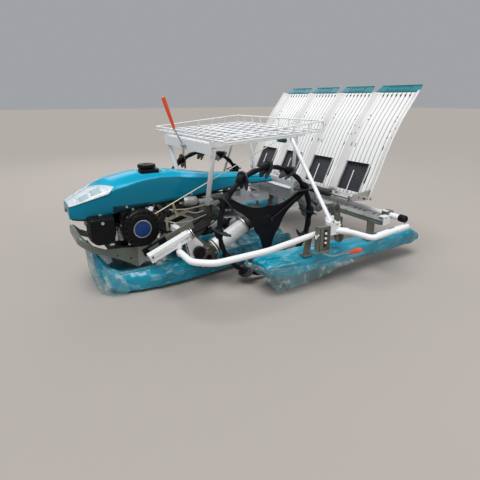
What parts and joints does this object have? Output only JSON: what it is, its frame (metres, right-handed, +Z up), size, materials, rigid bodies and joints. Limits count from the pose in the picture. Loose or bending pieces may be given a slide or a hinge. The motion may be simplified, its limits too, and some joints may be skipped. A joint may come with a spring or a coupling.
{
  "type": "walk-behind rice transplanter",
  "caption": "Walk-behind rice transplanter: engine under a teal bonnet, lugged wheels on swing arms, floats, seedling rack, sliding seedling tray and planting arms",
  "frame": {"origin": "on the floor, under the middle of the machine's length and width", "axes": "+X to the machine's left, -Y the way it drives, +Z up"},
  "size_m": [1.6454, 2.115, 1.0469],
  "materials": {
    "black_engine": "satin black enamel",
    "black_plastic": "moulded, satin",
    "hot_steel": "heat-stained",
    "teal_shell": "gloss",
    "clear_lens": "clear, silvered behind",
    "olive_paint": "satin",
    "cast_alloy": "as cast",
    "white_paint": "powder coat",
    "wheel_black": "moulded rubber over painted steel",
    "zinc_steel": "yellow zinc",
    "float_film": "teal moulding under clear wrapping film",
    "rubber_black": "moulded",
    "rope": "braided",
    "tray_white": "moulded, satin",
    "belt_black": "ribbed",
    "marker_orange": "satin",
    "grey_cast": "grey cast and painted"
  },
  "bodies": {
    "root": {"engine_block": "black_engine", "starter_cover": "black_plastic", "air_cleaner": "black_plastic", "muffler": "hot_steel", "bonnet": "teal_shell", "headlamp": "clear_lens", "fuel_cap": "black_plastic", "bumper": "olive_paint", "frame_plates": "olive_paint", "gearbox": "cast_alloy", "main_beam": "white_paint", "swing_arm_left": "white_paint", "swing_arm_right": "white_paint", "rack_frame": "white_paint", "rack_basket": "white_paint", "rack_posts": "white_paint", "guard_pipe_left": "white_paint", "guard_pipe_right": "white_paint", "guard_brackets": "white_paint", "marker_brackets": "zinc_steel", "centre_float": "float_film", "side_float_left": "float_film", "side_float_right": "float_film", "float_links": "olive_paint", "planting_cover": "cast_alloy", "planting_cases": "cast_alloy", "feed_boot": "rubber_black", "guide_rail": "cast_alloy", "end_tube": "zinc_steel", "tray_support": "white_paint", "handle_frame": "white_paint", "handle_grips": "rubber_black", "control_box": "black_plastic", "starter_rope": "rope"},
    "wheel_left": {"wheel_left": "wheel_black"},
    "wheel_right": {"wheel_right": "wheel_black"},
    "tray": {"tray": "tray_white", "tray_flaps": "teal_shell", "feed_belts": "belt_black", "press_rods": "white_paint", "feed_rod": "zinc_steel"},
    "crank_left": {"planting_crank_left": "zinc_steel"},
    "crank_right": {"planting_crank_right": "zinc_steel"},
    "arms_left": {"planting_arms_left": "grey_cast"},
    "arms_right": {"planting_arms_right": "grey_cast"},
    "centre_marker": {"centre_marker": "marker_orange"}
  },
  "joints": [
    {"name": "wheel_left_spin", "type": "hinge", "parent": "root", "child": "wheel_left", "pos_m": [0.383, -0.1075, 0.33], "axis": [1, 0, 0], "continuous": true},
    {"name": "wheel_right_spin", "type": "hinge", "parent": "root", "child": "wheel_right", "pos_m": [-0.383, -0.1075, 0.33], "axis": [1, 0, 0], "continuous": true},
    {"name": "tray_feed", "type": "slide", "parent": "root", "child": "tray", "axis": [1, 0, 0], "range_m": [-0.14, 0.14]},
    {"name": "crank_left_turn", "type": "hinge", "parent": "root", "child": "crank_left", "pos_m": [0.29, 0.3325, 0.335], "axis": [1, 0, 0], "continuous": true},
    {"name": "crank_right_turn", "type": "hinge", "parent": "root", "child": "crank_right", "pos_m": [-0.29, 0.3325, 0.335], "axis": [1, 0, 0], "continuous": true},
    {"name": "arms_left_pivot", "type": "hinge", "parent": "crank_left", "child": "arms_left", "pos_m": [0.29, 0.3325, 0.365], "axis": [1, 0, 0], "continuous": true},
    {"name": "arms_right_pivot", "type": "hinge", "parent": "crank_right", "child": "arms_right", "pos_m": [-0.29, 0.3325, 0.365], "axis": [1, 0, 0], "continuous": true},
    {"name": "marker_swing", "type": "hinge", "parent": "root", "child": "centre_marker", "pos_m": [0, -0.4181, 0.722], "axis": [0, 1, 0], "range_deg": [-85, 85]}
  ],
  "couplings": [
    {"joint": "crank_right_turn", "follows": "crank_left_turn", "ratio": 1},
    {"joint": "arms_left_pivot", "follows": "crank_left_turn", "ratio": -1},
    {"joint": "arms_right_pivot", "follows": "crank_left_turn", "ratio": -1}
  ]
}
